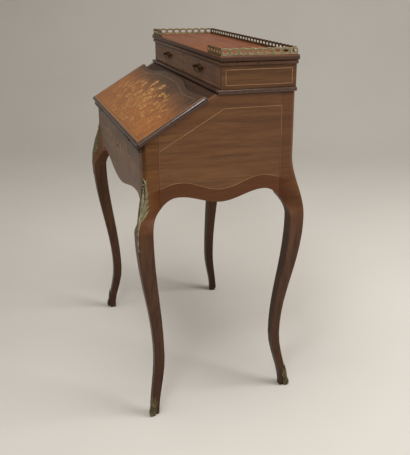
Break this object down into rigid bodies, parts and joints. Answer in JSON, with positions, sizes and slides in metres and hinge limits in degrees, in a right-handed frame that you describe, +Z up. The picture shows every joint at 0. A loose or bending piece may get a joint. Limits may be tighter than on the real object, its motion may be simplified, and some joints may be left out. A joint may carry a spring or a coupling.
{
  "type": "slant-front desk",
  "caption": "Lady's slant-front writing desk on cabriole legs: hinged fall over a fitted interior, upper drawer case and a pierced brass gallery.",
  "frame": {"origin": "on the floor, in the middle between the four feet", "axes": "+Z up, -Y towards the sitter, +X to the sitter's right"},
  "size_m": [0.6722, 0.4261, 0.9293],
  "materials": {
    "leg_wood": "dark reddish-brown waxed hardwood",
    "side_veneer": "brown figured veneer with pale stringing, waxed",
    "dark_veneer": "dark stained moulding, polished",
    "fall_veneer": "golden figured veneer with marquetry, polished",
    "top_veneer": "reddish veneer, glossy",
    "drawer_lining": "plain pale drawer wood",
    "brass": "tarnished green-gold cast brass",
    "dark_brass": "dark patinated brass",
    "leather": "dark red-brown writing leather"
  },
  "bodies": {
    "desk": {"leg_front_left": "leg_wood", "sabot_front_left": "brass", "leg_front_right": "leg_wood", "sabot_front_right": "brass", "leg_back_left": "leg_wood", "sabot_back_left": "brass", "leg_back_right": "leg_wood", "sabot_back_right": "brass", "chute_left": "brass", "side_panel_left": "side_veneer", "hinge_bed_leaf_left": "dark_brass", "hinge_pin_left": "dark_brass", "case_side_left": "side_veneer", "case_stile_left": "side_veneer", "gallery_left": "brass", "gallery_return_left": "brass", "gradin_partition_left": "side_veneer", "chute_right": "brass", "side_panel_right": "side_veneer", "hinge_bed_leaf_right": "dark_brass", "hinge_pin_right": "dark_brass", "case_side_right": "side_veneer", "case_stile_right": "side_veneer", "gallery_right": "brass", "gallery_return_right": "brass", "gradin_partition_right": "side_veneer", "front_apron": "side_veneer", "back_panel": "side_veneer", "bottom_board": "drawer_lining", "writing_bed": "side_veneer", "bed_nosing": "dark_veneer", "bed_leather": "leather", "slope_rail": "dark_veneer", "deck_board": "dark_veneer", "case_divider": "side_veneer", "case_back": "side_veneer", "cornice_moulding": "dark_veneer", "top_board": "top_veneer", "gallery_back": "dark_brass", "gradin_shelf": "side_veneer"},
    "fall": {"fall_panel": "fall_veneer", "fall_lip_left": "dark_veneer", "fall_lip_right": "dark_veneer", "fall_lip_bottom": "dark_veneer", "fall_leather": "leather", "hinge_fall_leaf_left": "dark_brass", "hinge_fall_leaf_right": "dark_brass"},
    "drawer_left": {"drawer_front_left": "side_veneer", "drawer_box_left": "drawer_lining", "pull_plate_left": "dark_brass"},
    "pull_left": {"bail_left": "dark_brass"},
    "inner_drawer_left": {"small_drawer_left": "drawer_lining", "small_knob_left": "brass"},
    "drawer_right": {"drawer_front_right": "side_veneer", "drawer_box_right": "drawer_lining", "pull_plate_right": "dark_brass"},
    "pull_right": {"bail_right": "dark_brass"},
    "inner_drawer_right": {"small_drawer_right": "drawer_lining", "small_knob_right": "brass"}
  },
  "joints": [
    {"name": "fall_hinge", "type": "hinge", "parent": "desk", "child": "fall", "pos_m": [0, -0.1969, 0.7083], "axis": [1, 0, 0], "range_deg": [0, 149]},
    {"name": "drawer_left_slide", "type": "slide", "parent": "desk", "child": "drawer_left", "axis": [0, -1, 0], "range_m": [0, 0.12]},
    {"name": "pull_left_lift", "type": "hinge", "parent": "drawer_left", "child": "pull_left", "pos_m": [-0.14435, -0.0065, 0.8627], "axis": [-1, 0, 0], "range_deg": [0, 80]},
    {"name": "inner_drawer_left_slide", "type": "slide", "parent": "desk", "child": "inner_drawer_left", "axis": [0, -1, 0], "range_m": [0, 0.09]},
    {"name": "drawer_right_slide", "type": "slide", "parent": "desk", "child": "drawer_right", "axis": [0, -1, 0], "range_m": [0, 0.12]},
    {"name": "pull_right_lift", "type": "hinge", "parent": "drawer_right", "child": "pull_right", "pos_m": [0.14435, -0.0065, 0.8627], "axis": [-1, 0, 0], "range_deg": [0, 80]},
    {"name": "inner_drawer_right_slide", "type": "slide", "parent": "desk", "child": "inner_drawer_right", "axis": [0, -1, 0], "range_m": [0, 0.09]}
  ]
}
